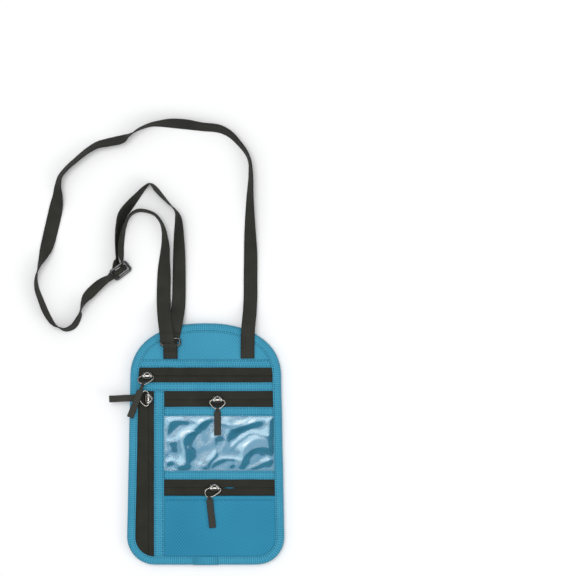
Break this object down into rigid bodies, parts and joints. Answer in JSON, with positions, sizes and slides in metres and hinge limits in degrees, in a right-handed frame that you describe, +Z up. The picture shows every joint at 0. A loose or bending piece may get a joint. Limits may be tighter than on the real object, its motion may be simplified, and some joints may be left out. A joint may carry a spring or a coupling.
{
  "type": "neck pouch wallet",
  "caption": "Flat zipped neck pouch with a clear window pocket, blue bindings, a black mesh back pocket and an adjustable black webbing neck strap.",
  "frame": {"origin": "the middle of the back pocket's flat outer face, on the surface that the pouch lies on, halfway between the pouch's sides and between its bottom edge and the top of its arch", "axes": "+Z up, out of the pouch's front; +Y towards the strap; +X to the right as seen from the front"},
  "size_m": [0.2249, 0.4024, 0.0173],
  "materials": {
    "blue_fabric": "matte",
    "blue_binding": "matte",
    "black_mesh": "matte",
    "zip_tape": "matte",
    "zip_coil": "satin",
    "clear_film": "gloss",
    "nickel": "polished",
    "pull_rubber": "matte",
    "black_webbing": "matte",
    "black_plastic": "gloss"
  },
  "bodies": {
    "pouch": {"back_mesh_pocket": "black_mesh", "back_pocket_binding": "blue_binding", "back_panel": "blue_fabric", "pocket_lining": "blue_fabric", "window_backing": "blue_fabric", "arch_panel": "blue_fabric", "lower_panel": "blue_fabric", "window_film": "clear_film", "perimeter_binding": "blue_binding", "seam_binding": "blue_binding", "top_zip_binding": "blue_binding", "window_top_binding": "blue_binding", "window_bottom_binding": "blue_binding", "column_binding": "blue_binding", "top_zip_tape_upper": "zip_tape", "top_zip_tape_lower": "zip_tape", "top_zip_coil": "zip_coil", "middle_zip_tape_upper": "zip_tape", "middle_zip_tape_lower": "zip_tape", "middle_zip_coil": "zip_coil", "lower_zip_tape_upper": "zip_tape", "lower_zip_tape_lower": "zip_tape", "lower_zip_coil": "zip_coil", "side_zip_tape_left": "zip_tape", "side_zip_tape_right": "zip_tape", "side_zip_coil": "zip_coil", "strap_tab": "black_webbing", "strap_ring": "nickel", "strap_ring_fold": "black_webbing", "neck_strap": "black_webbing", "strap_loop_outer": "black_webbing", "strap_loop_inner": "black_webbing", "strap_adjuster": "black_plastic", "adjuster_wrap": "black_webbing"},
    "top_zip_slider": {"top_zip_slider": "nickel"},
    "top_zip_ring": {"top_zip_pull_ring": "nickel"},
    "top_zip_tab": {"top_zip_pull_tab": "pull_rubber"},
    "middle_zip_slider": {"middle_zip_slider": "nickel"},
    "middle_zip_ring": {"middle_zip_pull_ring": "nickel"},
    "middle_zip_tab": {"middle_zip_pull_tab": "pull_rubber"},
    "lower_zip_slider": {"lower_zip_slider": "nickel"},
    "lower_zip_ring": {"lower_zip_pull_ring": "nickel"},
    "lower_zip_tab": {"lower_zip_pull_tab": "pull_rubber"},
    "side_zip_slider": {"side_zip_slider": "nickel"},
    "side_zip_ring": {"side_zip_pull_ring": "nickel"},
    "side_zip_tab": {"side_zip_pull_tab": "pull_rubber"}
  },
  "joints": [
    {"name": "top_zip_slide", "type": "slide", "parent": "pouch", "child": "top_zip_slider", "axis": [1, 0, 0], "range_m": [0, 0.107]},
    {"name": "top_zip_ring_lift", "type": "hinge", "parent": "top_zip_slider", "child": "top_zip_ring", "pos_m": [-0.0525, 0.0616, 0.0115], "axis": [-1, 0, 0], "range_deg": [0, 140]},
    {"name": "top_zip_tab_swing", "type": "hinge", "parent": "top_zip_ring", "child": "top_zip_tab", "pos_m": [-0.0561, 0.05467, 0.0155], "axis": [0.9336, -0.3584, 0], "range_deg": [-80, 0]},
    {"name": "middle_zip_slide", "type": "slide", "parent": "pouch", "child": "middle_zip_slider", "axis": [-1, 0, 0], "range_m": [-0.0437, 0.0424]},
    {"name": "middle_zip_ring_lift", "type": "hinge", "parent": "middle_zip_slider", "child": "middle_zip_ring", "pos_m": [0.0108, 0.04, 0.0115], "axis": [-1, 0, 0], "range_deg": [0, 170]},
    {"name": "middle_zip_tab_swing", "type": "hinge", "parent": "middle_zip_ring", "child": "middle_zip_tab", "pos_m": [0.0108, 0.032, 0.0115], "axis": [1, 0, 0], "range_deg": [-80, 0]},
    {"name": "lower_zip_slide", "type": "slide", "parent": "pouch", "child": "lower_zip_slider", "axis": [-1, 0, 0], "range_m": [-0.0479, 0.0397]},
    {"name": "lower_zip_ring_lift", "type": "hinge", "parent": "lower_zip_slider", "child": "lower_zip_ring", "pos_m": [0.0081, -0.0395, 0.0115], "axis": [-1, 0, 0], "range_deg": [0, 170]},
    {"name": "lower_zip_tab_swing", "type": "hinge", "parent": "lower_zip_ring", "child": "lower_zip_tab", "pos_m": [0.0035, -0.0475, 0.0115], "axis": [0.9945, 0.1045, 0], "range_deg": [-80, 0]},
    {"name": "side_zip_slide", "type": "slide", "parent": "pouch", "child": "side_zip_slider", "axis": [0, -1, 0], "range_m": [0, 0.128]},
    {"name": "side_zip_ring_lift", "type": "hinge", "parent": "side_zip_slider", "child": "side_zip_ring", "pos_m": [-0.0514, 0.041, 0.0115], "axis": [0, 1, 0], "range_deg": [0, 170], "deforming": ["top_zip_pull_tab"]},
    {"name": "side_zip_tab_swing", "type": "hinge", "parent": "side_zip_ring", "child": "side_zip_tab", "pos_m": [-0.0594, 0.0422, 0.0115], "axis": [0.0523, -0.9986, 0], "range_deg": [-80, 0], "deforming": ["top_zip_pull_tab"]}
  ]
}
